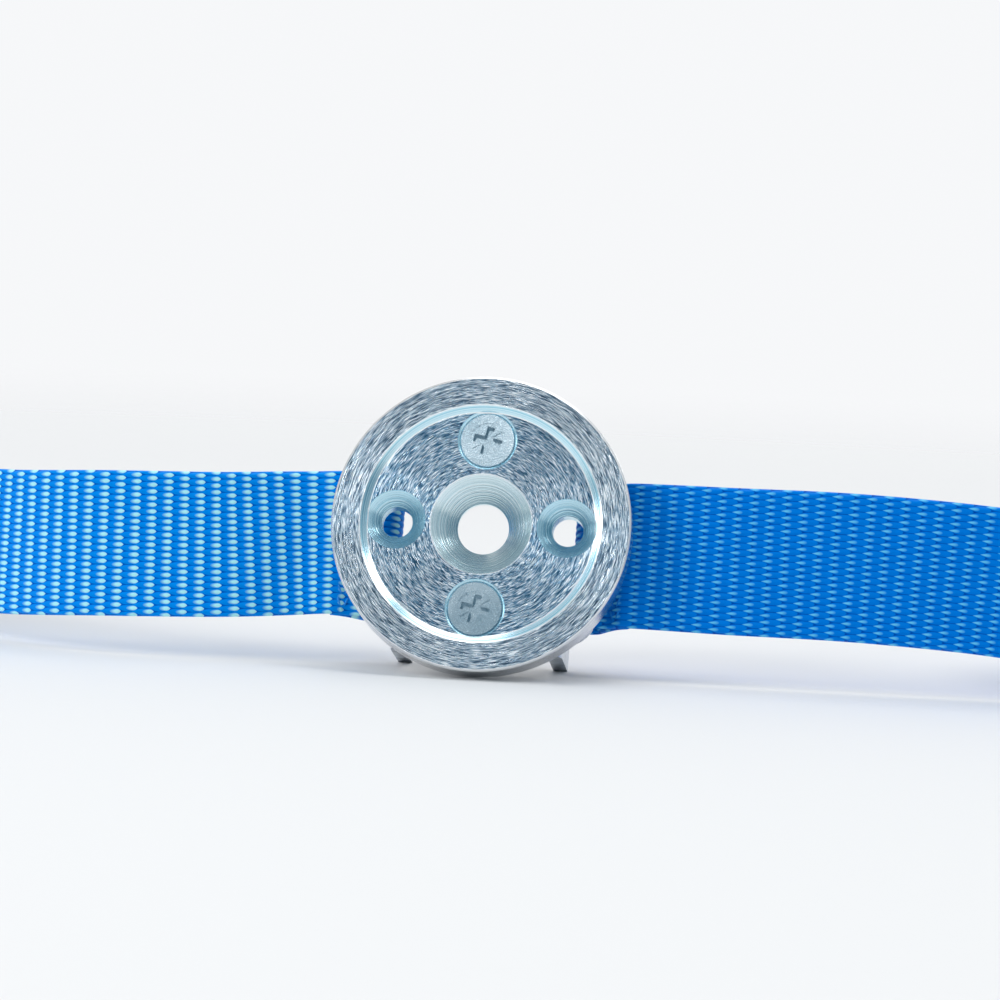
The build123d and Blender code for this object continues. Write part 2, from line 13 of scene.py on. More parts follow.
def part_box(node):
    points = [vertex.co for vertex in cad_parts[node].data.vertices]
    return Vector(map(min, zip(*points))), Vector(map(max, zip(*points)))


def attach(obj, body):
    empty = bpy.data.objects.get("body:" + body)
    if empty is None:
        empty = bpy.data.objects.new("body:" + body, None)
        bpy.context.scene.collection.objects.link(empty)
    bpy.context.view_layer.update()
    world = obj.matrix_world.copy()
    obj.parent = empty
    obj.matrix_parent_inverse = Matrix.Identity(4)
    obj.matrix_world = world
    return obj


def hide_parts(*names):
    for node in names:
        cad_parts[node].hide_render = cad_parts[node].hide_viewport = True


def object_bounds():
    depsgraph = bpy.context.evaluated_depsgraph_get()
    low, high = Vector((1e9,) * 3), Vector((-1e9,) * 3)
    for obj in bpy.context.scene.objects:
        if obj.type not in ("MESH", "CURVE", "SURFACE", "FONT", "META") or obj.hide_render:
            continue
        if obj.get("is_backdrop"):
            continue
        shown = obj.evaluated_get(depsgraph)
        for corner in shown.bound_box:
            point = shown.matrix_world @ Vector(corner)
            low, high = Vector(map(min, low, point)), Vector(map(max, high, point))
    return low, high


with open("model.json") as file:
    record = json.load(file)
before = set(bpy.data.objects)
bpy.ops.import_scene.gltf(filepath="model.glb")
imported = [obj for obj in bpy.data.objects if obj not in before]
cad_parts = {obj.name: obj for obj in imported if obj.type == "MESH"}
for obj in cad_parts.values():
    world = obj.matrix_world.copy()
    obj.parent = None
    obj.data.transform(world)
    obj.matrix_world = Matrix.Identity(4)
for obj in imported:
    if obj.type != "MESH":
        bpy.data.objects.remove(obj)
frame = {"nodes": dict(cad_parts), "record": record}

# The looks of a strap tie-down on a small turned mounting disc: studio, camera, metal finishes, and the
# webbing, its roll and its tie as woven pieces. Metres throughout; names that end in _mm are millimetres.

MM = 0.001
DISC_THICKNESS = 0.0058
LOG = logging.getLogger("tie_down")


class Body(Enum):
    """The group of the record that the webbing belongs to."""

    DISC = "disc"


class Slot(Enum):
    """Two of the record's material slot names, for the webbing and its tie; nothing here uses them."""

    WEBBING = "blue_webbing"
    TIE = "tie_fabric"


def object_from(bm: bmesh.types.BMesh, name: str) -> bpy.types.Object:
    """Put a finished bmesh into the scene as an object, and free it."""
    mesh = bpy.data.meshes.new(name)
    bm.to_mesh(mesh)
    bm.free()
    piece = bpy.data.objects.new(name, mesh)
    bpy.context.scene.collection.objects.link(piece)
    return piece


# ---------------------------------------------------------------- camera and studio


@dataclass(frozen=True)
class StudioCamera:
    """Camera that looks at the disc's face from a little above and a little to the right."""

    distance: float = 0.6931
    elevation: float = math.radians(4.89)
    turn: float = math.radians(6.25)
    roll: float = math.radians(2.52)
    lens_mm: float = 150.7
    sensor_mm: float = 36.0
    shift_x: float = 0.0195
    shift_y: float = 0.0228

    def place(self, aim: Vector) -> bpy.types.Object:
        """Create the scene's camera.

        Args:
            aim: The point that the camera looks at.

        Returns:
            The camera object.
        """
        level = math.cos(self.elevation)
        away = Vector((math.sin(self.turn) * level, -math.cos(self.turn) * level, math.sin(self.elevation)))
        right = Vector((0, 0, 1)).cross(away).normalized()
        up = away.cross(right)
        tilted_right = right * math.cos(self.roll) + up * math.sin(self.roll)
        tilted_up = up * math.cos(self.roll) - right * math.sin(self.roll)
        data = bpy.data.cameras.new("studio_camera")
        data.lens = self.lens_mm
        data.sensor_width = self.sensor_mm
        data.shift_x = self.shift_x
        data.shift_y = self.shift_y
        data.clip_end = 100.0
        camera = bpy.data.objects.new("studio_camera", data)
        turned = Matrix((tilted_right, tilted_up, away)).transposed().to_4x4()
        camera.matrix_world = Matrix.Translation(aim + away * self.distance) @ turned
        bpy.context.scene.collection.objects.link(camera)
        bpy.context.scene.camera = camera
        return camera


@dataclass(frozen=True)
class Softbox:
    """A square area light that points at the disc."""

    name: str
    place: tuple[float, float, float]
    size: float
    power: float
    tint: tuple[float, float, float] = (1.0, 1.0, 1.0)

    def hang(self) -> bpy.types.Object:
        """Create the light and point it at the origin."""
        data = bpy.data.lights.new(self.name, "AREA")
        data.size = self.size
        data.energy = self.power
        data.color = self.tint
        light = bpy.data.objects.new(self.name, data)
        light.location = self.place
        light.rotation_euler = (-Vector(self.place)).to_track_quat("-Z", "Y").to_euler()
        bpy.context.scene.collection.objects.link(light)
        return light


@dataclass(frozen=True)
class Studio:
    """Pale seamless floor under soft light, with a cooler, darker room in front of the object."""

    floor_radius: float = 3.0
    fade_from: float = 0.12
    fade_to: float = 0.95
    backdrop: tuple[float, float, float] = (0.925, 0.935, 0.95)
    softboxes: tuple[Softbox, ...] = (
        Softbox("left_softbox", (-0.95, -0.75, 0.75), 0.6, 7.0),
        Softbox("right_softbox", (0.95, -0.2, 1.1), 0.5, 3.4),
        Softbox("left_strip", (-1.13, -0.24, 0.33), 0.35, 1.3),
        Softbox("top_softbox", (0.1, 0.35, 1.3), 1.0, 5.4),
        Softbox("front_strip", (-0.18, -1.3, 0.95), 0.14, 0.6),
    )

    def light(self) -> None:
        """Hang the softboxes and set the world's light."""
        for softbox in self.softboxes:
            softbox.hang()
        world = bpy.data.worlds.new("studio_world")
        bpy.context.scene.world = world
        world.use_nodes = True
        sheet = NodeSheet(world.node_tree)
        direction = sheet.add("ShaderNodeTexCoord").outputs["Generated"]
        split = sheet.add("ShaderNodeSeparateXYZ", Vector=direction)
        room = sheet.ramp(split.outputs["Y"], (
            (0.0, (0.16, 0.25, 0.32)), (0.22, (0.26, 0.38, 0.46)),
            (0.46, (0.75, 0.84, 0.92)), (0.7, (1.0, 1.0, 1.0))), low=-1.0, high=1.0)
        room_light = sheet.add("ShaderNodeBackground", Color=room, Strength=0.8)
        seen = sheet.add("ShaderNodeBackground", Color=(*self.backdrop, 1.0), Strength=1.0)
        mix = sheet.add("ShaderNodeMixShader")
        path = sheet.add("ShaderNodeLightPath")
        sheet.join(path.outputs["Is Camera Ray"], mix.inputs[0])
        sheet.join(room_light.outputs[0], mix.inputs[1])
        sheet.join(seen.outputs[0], mix.inputs[2])
        output = sheet.add("ShaderNodeOutputWorld")
        sheet.join(mix.outputs[0], output.inputs["Surface"])

    def lay_floor(self, level: float) -> bpy.types.Object:
        """Lay the floor, which fades into the backdrop far from the object.

        Args:
            level: Height of the floor.

        Returns:
            The floor object.
        """
        bm = bmesh.new()
        bmesh.ops.create_circle(bm, cap_ends=True, segments=96, radius=self.floor_radius)
        bmesh.ops.translate(bm, verts=bm.verts, vec=(0, 0, level))
        floor = object_from(bm, "studio_floor")
        material, sheet, shader = new_surface("pale_floor", roughness=0.75, specular=0.2)
        shader.inputs["Base Color"].default_value = (0.82, 0.805, 0.795, 1.0)
        spot = sheet.add("ShaderNodeTexCoord").outputs["Object"]
        reach = sheet.add("ShaderNodeVectorMath", operation="LENGTH", Vector=spot).outputs["Value"]
        fade = sheet.add("ShaderNodeMapRange", interpolation_type="SMOOTHSTEP", Value=reach)
        fade.inputs["From Min"].default_value = self.fade_from
        fade.inputs["From Max"].default_value = self.fade_to
        fade.inputs["To Min"].default_value = 1.0
        fade.inputs["To Max"].default_value = 0.0
        sheet.join(fade.outputs[0], shader.inputs["Alpha"])
        floor.data.materials.append(material)
        floor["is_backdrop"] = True
        return floor


# ---------------------------------------------------------------- shader helpers


class NodeSheet:
    """Short calls for laying out one node tree."""

    def __init__(self, tree: bpy.types.NodeTree, clear: bool = True) -> None:
        """Keep the tree, emptied unless told not to."""
        self.tree = tree
        if clear:
            tree.nodes.clear()

    def add(self, kind: str, operation: str | None = None, **settings: object) -> bpy.types.Node:
        """Add a node and set its inputs or properties by name.

        Args:
            kind: The node's type.
            operation: Its operation, where it has one.
            settings: Values or sockets for inputs, spaces written as underscores, or properties.

        Returns:
            The new node.
        """
        node = self.tree.nodes.new(kind)
        if operation:
            node.operation = operation
        for key, value in settings.items():
            name = key.replace("_", " ")
            if name in node.inputs:
                self.feed(value, node.inputs[name])
            else:
                setattr(node, key, value)
        return node

    def feed(self, value: object, socket: bpy.types.NodeSocket) -> None:
        """Join a socket or set a plain value."""
        if isinstance(value, bpy.types.NodeSocket):
            self.tree.links.new(value, socket)
        else:
            socket.default_value = value

    def join(self, source: bpy.types.NodeSocket, target: bpy.types.NodeSocket) -> None:
        """Link two sockets."""
        self.tree.links.new(source, target)

    def sum(self, operation: str, first: object, second: object = 0.0, third: object = 0.0,
            clamp: bool = False) -> bpy.types.NodeSocket:
        """Work out one arithmetic step and return its value."""
        node = self.tree.nodes.new("ShaderNodeMath")
        node.operation = operation
        node.use_clamp = clamp
        for place, value in enumerate((first, second, third)):
            self.feed(value, node.inputs[place])
        return node.outputs[0]

    def ramp(self, value: bpy.types.NodeSocket, stops: tuple, low: float = 0.0,
             high: float = 1.0) -> bpy.types.NodeSocket:
        """Colour a value by a few stops.

        Args:
            value: The value to colour.
            stops: Pairs of place and colour.
            low: The value that stands at place 0.
            high: The value that stands at place 1.

        Returns:
            The colour socket.
        """
        share = self.sum("DIVIDE", self.sum("SUBTRACT", value, low), high - low, clamp=True)
        node = self.tree.nodes.new("ShaderNodeValToRGB")
        marks = node.color_ramp.elements
        while len(marks) < len(stops):
            marks.new(0.5)
        for mark, (place, colour) in zip(marks, stops):
            mark.position = place
            mark.color = (*colour, 1.0)
        self.join(share, node.inputs[0])
        return node.outputs[0]

    def pick(self, share: object, first: object, second: object) -> bpy.types.NodeSocket:
        """Mix two values."""
        node = self.tree.nodes.new("ShaderNodeMix")
        for place, value in ((0, share), (2, first), (3, second)):
            self.feed(value, node.inputs[place])
        return node.outputs[0]

    def blend(self, share: object, first: object, second: object,
              blend_type: str = "MIX") -> bpy.types.NodeSocket:
        """Mix two colours."""
        node = self.tree.nodes.new("ShaderNodeMix")
        node.data_type = "RGBA"
        node.blend_type = blend_type
        self.feed(share, node.inputs[0])
        self.feed(first, node.inputs[6])
        self.feed(second, node.inputs[7])
        return node.outputs[2]


def new_surface(name: str, roughness: float = 0.5, metallic: float = 0.0,
                specular: float = 0.5) -> tuple[bpy.types.Material, NodeSheet, bpy.types.Node]:
    """Start a material with a Principled shader.

    Args:
        name: The material's name.
        roughness: Plain roughness, where nothing drives it.
        metallic: 1 for metal.
        specular: Specular level of what isn't metal.

    Returns:
        The material, its node sheet and the shader node.
    """
    material = bpy.data.materials.new(name)
    material.use_nodes = True
    sheet = NodeSheet(material.node_tree)
    shader = sheet.add("ShaderNodeBsdfPrincipled")
    shader.inputs["Roughness"].default_value = roughness
    shader.inputs["Metallic"].default_value = metallic
    shader.inputs["Specular IOR Level"].default_value = specular
    output = sheet.add("ShaderNodeOutputMaterial")
    sheet.join(shader.outputs[0], output.inputs["Surface"])
    return material, sheet, shader


def add_bump(sheet: NodeSheet, shader: bpy.types.Node, height: bpy.types.NodeSocket, strength: float,
             depth_mm: float) -> None:
    """Feed a height into the shader's normal."""
    bump = sheet.add("ShaderNodeBump", Strength=strength, Distance=depth_mm * MM, Height=height)
    sheet.join(bump.outputs[0], shader.inputs["Normal"])


def group_of(name: str, inputs: tuple, outputs: tuple) -> tuple[NodeSheet, bpy.types.Node, bpy.types.Node]:
    """Start a shader node group.

    Args:
        name: The group's name.
        inputs: Pairs of input name and socket type.
        outputs: Pairs of output name and socket type.

    Returns:
        The group's sheet, its input node and its output node.
    """
    tree = bpy.data.node_groups.new(name, "ShaderNodeTree")
    for label, kind in inputs:
        tree.interface.new_socket(label, in_out="INPUT", socket_type=kind)
    for label, kind in outputs:
        tree.interface.new_socket(label, in_out="OUTPUT", socket_type=kind)
    sheet = NodeSheet(tree, clear=False)
    return sheet, sheet.add("NodeGroupInput"), sheet.add("NodeGroupOutput")


def scratch_group() -> bpy.types.NodeTree:
    """Grain drawn out along one axis: fine scratches over broad streaks, from 0 to 1."""
    sheet, given, result = group_of(
        "drawn_scratches", (("Place", "NodeSocketVector"), ("Fineness", "NodeSocketFloat")),
        (("Scratch", "NodeSocketFloat"), ("Streak", "NodeSocketFloat")))
    for label, scale, detail in (("Scratch", 1.0, 2.0), ("Streak", 0.23, 3.0)):
        size = sheet.sum("MULTIPLY", given.outputs["Fineness"], scale)
        noise = sheet.add("ShaderNodeTexNoise", Vector=given.outputs["Place"], Scale=size, Detail=detail)
        sheet.join(noise.outputs[0], result.inputs[label])
    return sheet.tree


def wear_group() -> bpy.types.NodeTree:
    """Soft patches and small specks of handling wear, from 0 to 1."""
    sheet, given, result = group_of(
        "handling_wear", (("Place", "NodeSocketVector"), ("Size", "NodeSocketFloat")),
        (("Patch", "NodeSocketFloat"), ("Speck", "NodeSocketFloat")))
    patch = sheet.add("ShaderNodeTexNoise", Vector=given.outputs["Place"], Scale=given.outputs["Size"],
                      Detail=5.0)
    sheet.join(patch.outputs[0], result.inputs["Patch"])
    fine = sheet.sum("MULTIPLY", given.outputs["Size"], 9.0)
    speck = sheet.add("ShaderNodeTexNoise", Vector=given.outputs["Place"], Scale=fine, Detail=2.0)
    bright = sheet.sum("MULTIPLY", sheet.sum("SUBTRACT", speck.outputs[0], 0.62), 8.0, clamp=True)
    sheet.join(bright, result.inputs["Speck"])
    return sheet.tree


@dataclass(frozen=True)
class Weave:
    """The cloth's pattern: staggered pointed floats of yarn in rows across the width."""

    row_mm: float = 1.13
    column_mm: float = 2.74
    overlap: float = 1.36
    blunt: float = 6.0
    tapered: float = 1.7
    edge_height: float = 0.55
    back_height: float = 0.45
    yarns_per_row: int = 7

    def crown(self, along: float, across: float) -> float:
        """Height of the yarn at a place on the cloth, 0 in a valley and 1 on a float's back.

        Args:
            along: Millimetres along the strap.
            across: Millimetres across it.

        Returns:
            The height.
        """
        best = 0.0
        for odd in (0, 1):
            turn = along / (2 * self.column_mm) + odd / 2
            reach = (turn - math.floor(turn) - 0.5) * 4 / self.overlap
            row = across / self.row_mm + odd / 2
            off = abs(row - math.floor(row) - 0.5) * 2
            half = 1 - abs(reach) ** (self.tapered if reach > 0 else self.blunt)
            if half > 0:
                shape = 1 - (off / half) ** 2
                best = max(best, math.sqrt(max(0.0, shape)) * (self.edge_height + self.back_height * half))
        return best

    def group(self) -> bpy.types.NodeTree:
        """The same pattern as a node group, with a mask for the highlight painted at one end of each float,
        and its fine yarn lines.
        """
        sheet, given, result = group_of(
            "cloth_weave", (("Along", "NodeSocketFloat"), ("Across", "NodeSocketFloat"),
                            ("Toward", "NodeSocketFloat")),
            (("Crown", "NodeSocketFloat"), ("Painted Highlight", "NodeSocketFloat"), ("Yarn", "NodeSocketFloat")))
        along, across = given.outputs["Along"], given.outputs["Across"]
        crowns, painted_highlight_ends = [], []
        for odd in (0, 1):
            turn = sheet.sum("MULTIPLY_ADD", along, 1 / (2 * self.column_mm), odd / 2)
            reach = sheet.sum("MULTIPLY", sheet.sum("SUBTRACT", sheet.sum("FRACT", turn), 0.5),
                              4 / self.overlap)
            row = sheet.sum("MULTIPLY_ADD", across, 1 / self.row_mm, odd / 2)
            off = sheet.sum("MULTIPLY", sheet.sum("SUBTRACT", sheet.sum("FRACT", row), 0.5), 2.0)
            is_tip = sheet.sum("GREATER_THAN", reach, 0.0)
            power = sheet.sum("MULTIPLY_ADD", is_tip, self.tapered - self.blunt, self.blunt)
            bent = sheet.sum("POWER", sheet.sum("ABSOLUTE", reach), power)
            half = sheet.sum("MAXIMUM", sheet.sum("SUBTRACT", 1.0, bent), 0.001)
            share = sheet.sum("DIVIDE", off, half)
            squared = sheet.sum("MULTIPLY", share, share)
            shape = sheet.sum("MAXIMUM", sheet.sum("SUBTRACT", 1.0, squared), 0.0)
            crown = sheet.sum("MULTIPLY", sheet.sum("SQRT", shape),
                              sheet.sum("MULTIPLY_ADD", half, self.back_height, self.edge_height))
            crowns.append(crown)
            # Toward picks which end of each float gets the painted highlight.
            toward = sheet.sum("MULTIPLY", reach, given.outputs["Toward"])
            painted_highlight_share = sheet.sum("MULTIPLY_ADD", toward, 0.5, 0.5, clamp=True)
            painted_highlight_ends.append(sheet.sum("MULTIPLY", painted_highlight_share, crown))
        sheet.join(sheet.sum("MAXIMUM", *crowns), result.inputs["Crown"])
        sheet.join(sheet.sum("MAXIMUM", *painted_highlight_ends), result.inputs["Painted Highlight"])
        waves = 2 * math.pi * self.yarns_per_row / self.row_mm
        fine = sheet.sum("SINE", sheet.sum("MULTIPLY", across, waves))
        sheet.join(sheet.sum("MULTIPLY_ADD", fine, 0.5, 0.5), result.inputs["Yarn"])
        return sheet.tree


# ---------------------------------------------------------------- finishes


@dataclass(frozen=True)
class DrawnSteel:
    """Zinc-plated steel with grain along one axis, small wear and dull patches."""

    name: str
    dark: tuple[float, float, float]
    light: tuple[float, float, float]
    stretch: tuple[float, float, float]
    roughness: tuple[float, float]
    fineness: float = 1.0
    bump: float = 0.25
    specks: float = 0.5

    def make(self, groups: "SharedGroups") -> bpy.types.Material:
        """Build the material."""
        material, sheet, shader = new_surface(self.name, metallic=1.0)
        spot = sheet.add("ShaderNodeTexCoord").outputs["Object"]
        scale = tuple(value / MM for value in self.stretch)
        place = sheet.add("ShaderNodeMapping", Vector=spot, Scale=scale).outputs[0]
        grain = groups.place(sheet, "drawn_scratches", Place=place, Fineness=self.fineness)
        wear = groups.place(sheet, "handling_wear", Place=spot, Size=160.0)
        tone = sheet.sum("MULTIPLY_ADD", grain.outputs["Scratch"], 0.55,
                         sheet.sum("MULTIPLY", wear.outputs["Patch"], 0.45))
        colour = sheet.ramp(tone, ((0.3, self.dark), (0.68, self.light)))
        worn_share = sheet.sum("MULTIPLY", wear.outputs["Speck"], self.specks)
        worn = sheet.blend(worn_share, colour, (0.95, 0.97, 1.0, 1.0))
        sheet.join(worn, shader.inputs["Base Color"])
        low, high = self.roughness
        rough = sheet.sum("MULTIPLY_ADD", grain.outputs["Streak"], high - low, low)
        sheet.join(rough, shader.inputs["Roughness"])
        add_bump(sheet, shader, grain.outputs["Scratch"], self.bump, 0.05)
        return material


@dataclass(frozen=True)
class TurnedSteel:
    """Turned and brushed disc: short arcs round the middle on its flats, fine rings in its holes."""

    lean: float
    recess_mm: float = 20.2
    wall_mm: float = 1.2
    edge_mm: float = 24.0
    bore_mouth_mm: float = 8.5
    # Half the width of the painted highlight lines.
    highlight_line_half_mm: float = 0.11
    name: str = "turned_disc"
    flat_from: float = 0.93

    def make(self, groups: "SharedGroups") -> bpy.types.Material:
        """Build the material in the disc's own leaning frame."""
        material, sheet, shader = new_surface(self.name, metallic=1.0)
        texture = sheet.add("ShaderNodeTexCoord")
        upright = sheet.add("ShaderNodeMapping", Vector=texture.outputs["Object"],
                            Rotation=(self.lean, 0.0, 0.0), Scale=(1 / MM, 1 / MM, 1 / MM)).outputs[0]
        part = sheet.add("ShaderNodeSeparateXYZ", Vector=upright)
        flat_spot = sheet.add("ShaderNodeCombineXYZ", X=part.outputs["X"], Y=0.0,
                              Z=part.outputs["Z"]).outputs[0]
        radius = sheet.add("ShaderNodeVectorMath", operation="LENGTH", Vector=flat_spot).outputs["Value"]
        arc, streak = self.arcs(sheet, groups, upright, flat_spot, radius)
        ring_place = sheet.add("ShaderNodeCombineXYZ", X=sheet.sum("MULTIPLY", part.outputs["Y"], 4.0),
                               Y=0.0, Z=0.0)
        rings = groups.place(sheet, "drawn_scratches", Place=ring_place.outputs[0], Fineness=1.6)
        ring = sheet.sum("MULTIPLY_ADD", rings.outputs["Scratch"], 0.24, 0.39)
        facing = sheet.add("ShaderNodeVectorMath", operation="DOT_PRODUCT",
                           Vector=texture.outputs["Normal"])
        facing.inputs[1].default_value = (0.0, -math.cos(self.lean), math.sin(self.lean))
        flat = sheet.sum("GREATER_THAN", sheet.sum("ABSOLUTE", facing.outputs["Value"]), self.flat_from)
        sheet.join(self.colour(sheet, flat, radius, arc, ring), shader.inputs["Base Color"])
        dull = sheet.sum("MULTIPLY_ADD", streak, 0.26, 0.16)
        clean = sheet.sum("MULTIPLY_ADD", rings.outputs["Streak"], 0.12, 0.16)
        sheet.join(sheet.pick(flat, clean, dull), shader.inputs["Roughness"])
        add_bump(sheet, shader, sheet.pick(flat, ring, arc), 0.75, 0.2)
        return material

    def arcs(self, sheet: NodeSheet, groups: "SharedGroups", upright: bpy.types.NodeSocket,
             flat_spot: bpy.types.NodeSocket, radius: bpy.types.NodeSocket) -> tuple:
        """Scratches that run round the disc's middle, in two sizes.

        Args:
            sheet: The material's node sheet.
            groups: The shared groups.
            upright: The place in the disc's own frame, in millimetres.
            flat_spot: The same place with its depth left out.
            radius: Its distance from the disc's middle.

        Returns:
            The scratches and the broad streaks under them, from 0 to 1.
        """
        round_spot = sheet.add("ShaderNodeVectorMath", operation="NORMALIZE", Vector=flat_spot).outputs[0]
        rounds = sheet.add("ShaderNodeSeparateXYZ", Vector=round_spot)
        wobble = sheet.add("ShaderNodeTexNoise", Vector=upright, Scale=0.35, Detail=2.0).outputs[0]
        sizes = []
        for spread, turns, slide in ((9.0, 9.0, 0.55), (16.0, 15.0, -0.7)):
            out = sheet.sum("MULTIPLY", sheet.sum("MULTIPLY_ADD", wobble, slide, radius), spread)
            place = sheet.add("ShaderNodeCombineXYZ", X=out,
                              Y=sheet.sum("MULTIPLY", rounds.outputs["X"], turns),
                              Z=sheet.sum("MULTIPLY", rounds.outputs["Z"], turns)).outputs[0]
            sizes.append(groups.place(sheet, "drawn_scratches", Place=place, Fineness=1.0))
        scratch = sheet.sum("MULTIPLY_ADD", sizes[0].outputs["Scratch"], 0.5,
                            sheet.sum("MULTIPLY", sizes[1].outputs["Scratch"], 0.5))
        return scratch, sizes[0].outputs["Streak"]

    def colour(self, sheet: NodeSheet, flat: bpy.types.NodeSocket, radius: bpy.types.NodeSocket,
               arc: bpy.types.NodeSocket, ring: bpy.types.NodeSocket) -> bpy.types.NodeSocket:
        """Bluer in the recess, teal in the holes, pale round the rim, with painted highlight lines along the
        turned edges.

        Args:
            sheet: The material's node sheet.
            flat: 1 on the flats and 0 in holes, slopes and edges.
            radius: The distance from the disc's middle, in millimetres.
            arc: The flats' scratches.
            ring: The holes' rings.

        Returns:
            The colour.
        """
        # Along the flats' scratches the colour runs from near black to white: this is the grain's own tone,
        # with painted dark reflection in the darkest streaks and painted glints in the white ones.
        recess = sheet.ramp(arc, ((0.41, (0.015, 0.055, 0.11)), (0.48, (0.11, 0.24, 0.37)),
                                  (0.525, (0.33, 0.51, 0.65)), (0.56, (1.0, 1.0, 1.0))))
        rim = sheet.ramp(arc, ((0.41, (0.03, 0.06, 0.10)), (0.48, (0.19, 0.28, 0.37)),
                               (0.525, (0.50, 0.62, 0.71)), (0.56, (1.0, 1.0, 1.0))))
        on_rim = sheet.sum("GREATER_THAN", radius, self.recess_mm)
        # The centre bore takes a paler copy of the side holes' colour, which is painted light on the same
        # turned finish.
        side_hole = sheet.ramp(ring, ((0.48, (0.32, 0.64, 0.78)), (0.54, (0.78, 0.95, 1.0))))
        bore = sheet.ramp(ring, ((0.48, (0.52, 0.74, 0.80)), (0.54, (0.94, 1.0, 1.0))))
        beyond_bore = sheet.sum("GREATER_THAN", radius, self.bore_mouth_mm)
        edge = sheet.ramp(ring, ((0.49, (0.62, 0.64, 0.66)), (0.53, (0.88, 0.89, 0.90))))
        on_edge = sheet.sum("GREATER_THAN", radius, self.edge_mm)
        turned = sheet.blend(on_edge, sheet.blend(beyond_bore, bore, side_hole), edge)
        colour = sheet.blend(flat, turned, sheet.blend(on_rim, recess, rim))
        # Painted highlights: thin white lines at the bore's mouth and at both edges of the recess wall, where
        # the turned edges catch the light.
        for highlight_line_mm in (self.bore_mouth_mm, self.recess_mm - self.wall_mm, self.recess_mm):
            off_highlight_line = sheet.sum("ABSOLUTE", sheet.sum("SUBTRACT", radius, highlight_line_mm))
            on_highlight_line = sheet.sum("LESS_THAN", off_highlight_line, self.highlight_line_half_mm)
            colour = sheet.blend(sheet.sum("MULTIPLY", on_highlight_line, 0.8), colour, (1.0, 1.0, 1.0, 1.0))
        return colour


@dataclass(frozen=True)
class WovenCloth:
    """Woven polyester: yarn floats over valleys darkened by painted shade, each with a painted highlight at
    one end.
    """

    name: str
    valley: tuple[float, float, float]
    yarn: tuple[float, float, float]
    painted_highlight: tuple[float, float, float]
    heading: int = 1
    # Which end of each float gets the painted highlight, where that highlight starts and how sharply it
    # shows.
    painted_highlight_end: int = -1
    painted_highlight_from: float = 0.45
    painted_highlight_gain: float = 3.0
    bump: float = 0.6

    def make(self, groups: "SharedGroups") -> bpy.types.Material:
        """Build the material on the piece's own cloth coordinates, which are in metres."""
        material, sheet, shader = new_surface(self.name, specular=0.12)
        uv = sheet.add("ShaderNodeUVMap", uv_map="cloth").outputs[0]
        part = sheet.add("ShaderNodeSeparateXYZ", Vector=uv)
        along = sheet.sum("DIVIDE", part.outputs["X"], self.heading * MM)
        across = sheet.sum("DIVIDE", part.outputs["Y"], MM)
        pattern = groups.place(sheet, "cloth_weave", Along=along, Across=across,
                               Toward=float(self.painted_highlight_end))
        wear = groups.place(sheet, "handling_wear", Place=uv, Size=260.0)
        crown = pattern.outputs["Crown"]
        # Painted shade: the valleys between floats take the darker valley colour, and the floats' backs take
        # the yarn colour.
        body = sheet.ramp(crown, ((0.12, self.valley), (0.62, self.yarn)))
        # Painted highlight: a brighter colour laid over one end of each float, standing in for the yarn
        # catching the light.
        painted_highlight = sheet.sum("MULTIPLY", sheet.sum("SUBTRACT", pattern.outputs["Painted Highlight"], self.painted_highlight_from),
                        self.painted_highlight_gain, clamp=True)
        colour = sheet.blend(painted_highlight, body, (*self.painted_highlight, 1.0))
        fade = sheet.sum("MULTIPLY", wear.outputs["Patch"], 0.12)
        soiled = sheet.blend(fade, colour, (*self.valley, 1.0))
        sheet.join(soiled, shader.inputs["Base Color"])
        sheet.join(sheet.sum("MULTIPLY_ADD", crown, -0.16, 0.55), shader.inputs["Roughness"])
        shader.inputs["Specular Tint"].default_value = (*self.yarn, 1.0)
        height = sheet.sum("MULTIPLY_ADD", pattern.outputs["Yarn"], 0.10, crown)
        add_bump(sheet, shader, height, self.bump, 0.2)
        return material


@dataclass(frozen=True)
class MouldedPlastic:
    """Black moulded grip with an even fine grain and slightly polished patches."""

    name: str = "moulded_grip"

    def make(self, groups: "SharedGroups") -> bpy.types.Material:
        """Build the material."""
        material, sheet, shader = new_surface(self.name, specular=0.4)
        spot = sheet.add("ShaderNodeTexCoord").outputs["Object"]
        wear = groups.place(sheet, "handling_wear", Place=spot, Size=110.0)
        grain = sheet.add("ShaderNodeTexVoronoi", Vector=spot, Scale=2600.0).outputs["Distance"]
        colour = sheet.ramp(wear.outputs["Patch"], ((0.3, (0.010, 0.011, 0.012)),
                                                    (0.7, (0.026, 0.027, 0.029))))
        sheet.join(colour, shader.inputs["Base Color"])
        sheet.join(sheet.sum("MULTIPLY_ADD", wear.outputs["Patch"], 0.25, 0.38), shader.inputs["Roughness"])
        add_bump(sheet, shader, grain, 0.35, 0.08)
        return material


class SharedGroups:
    """The node groups that more than one finish uses, each built once."""

    def __init__(self, weave: Weave) -> None:
        """Build the groups."""
        self.trees = {tree.name: tree for tree in (scratch_group(), wear_group(), weave.group())}

    def place(self, sheet: NodeSheet, name: str, **inputs: object) -> bpy.types.Node:
        """Put a group into a material.

        Args:
            sheet: The material's node sheet.
            name: The group's name.
            inputs: Values or sockets for its inputs.

        Returns:
            The group node.
        """
        node = sheet.tree.nodes.new("ShaderNodeGroup")
        node.node_tree = self.trees[name]
        for label, value in inputs.items():
            sheet.feed(value, node.inputs[label])
        return node


def dress(node: str, material: bpy.types.Material) -> None:
    """Give a CAD node its finish."""
    slots = frame["nodes"][node].data.materials
    if not slots:
        slots.append(material)
    for place in range(len(slots)):
        slots[place] = material


# ---------------------------------------------------------------- webbing


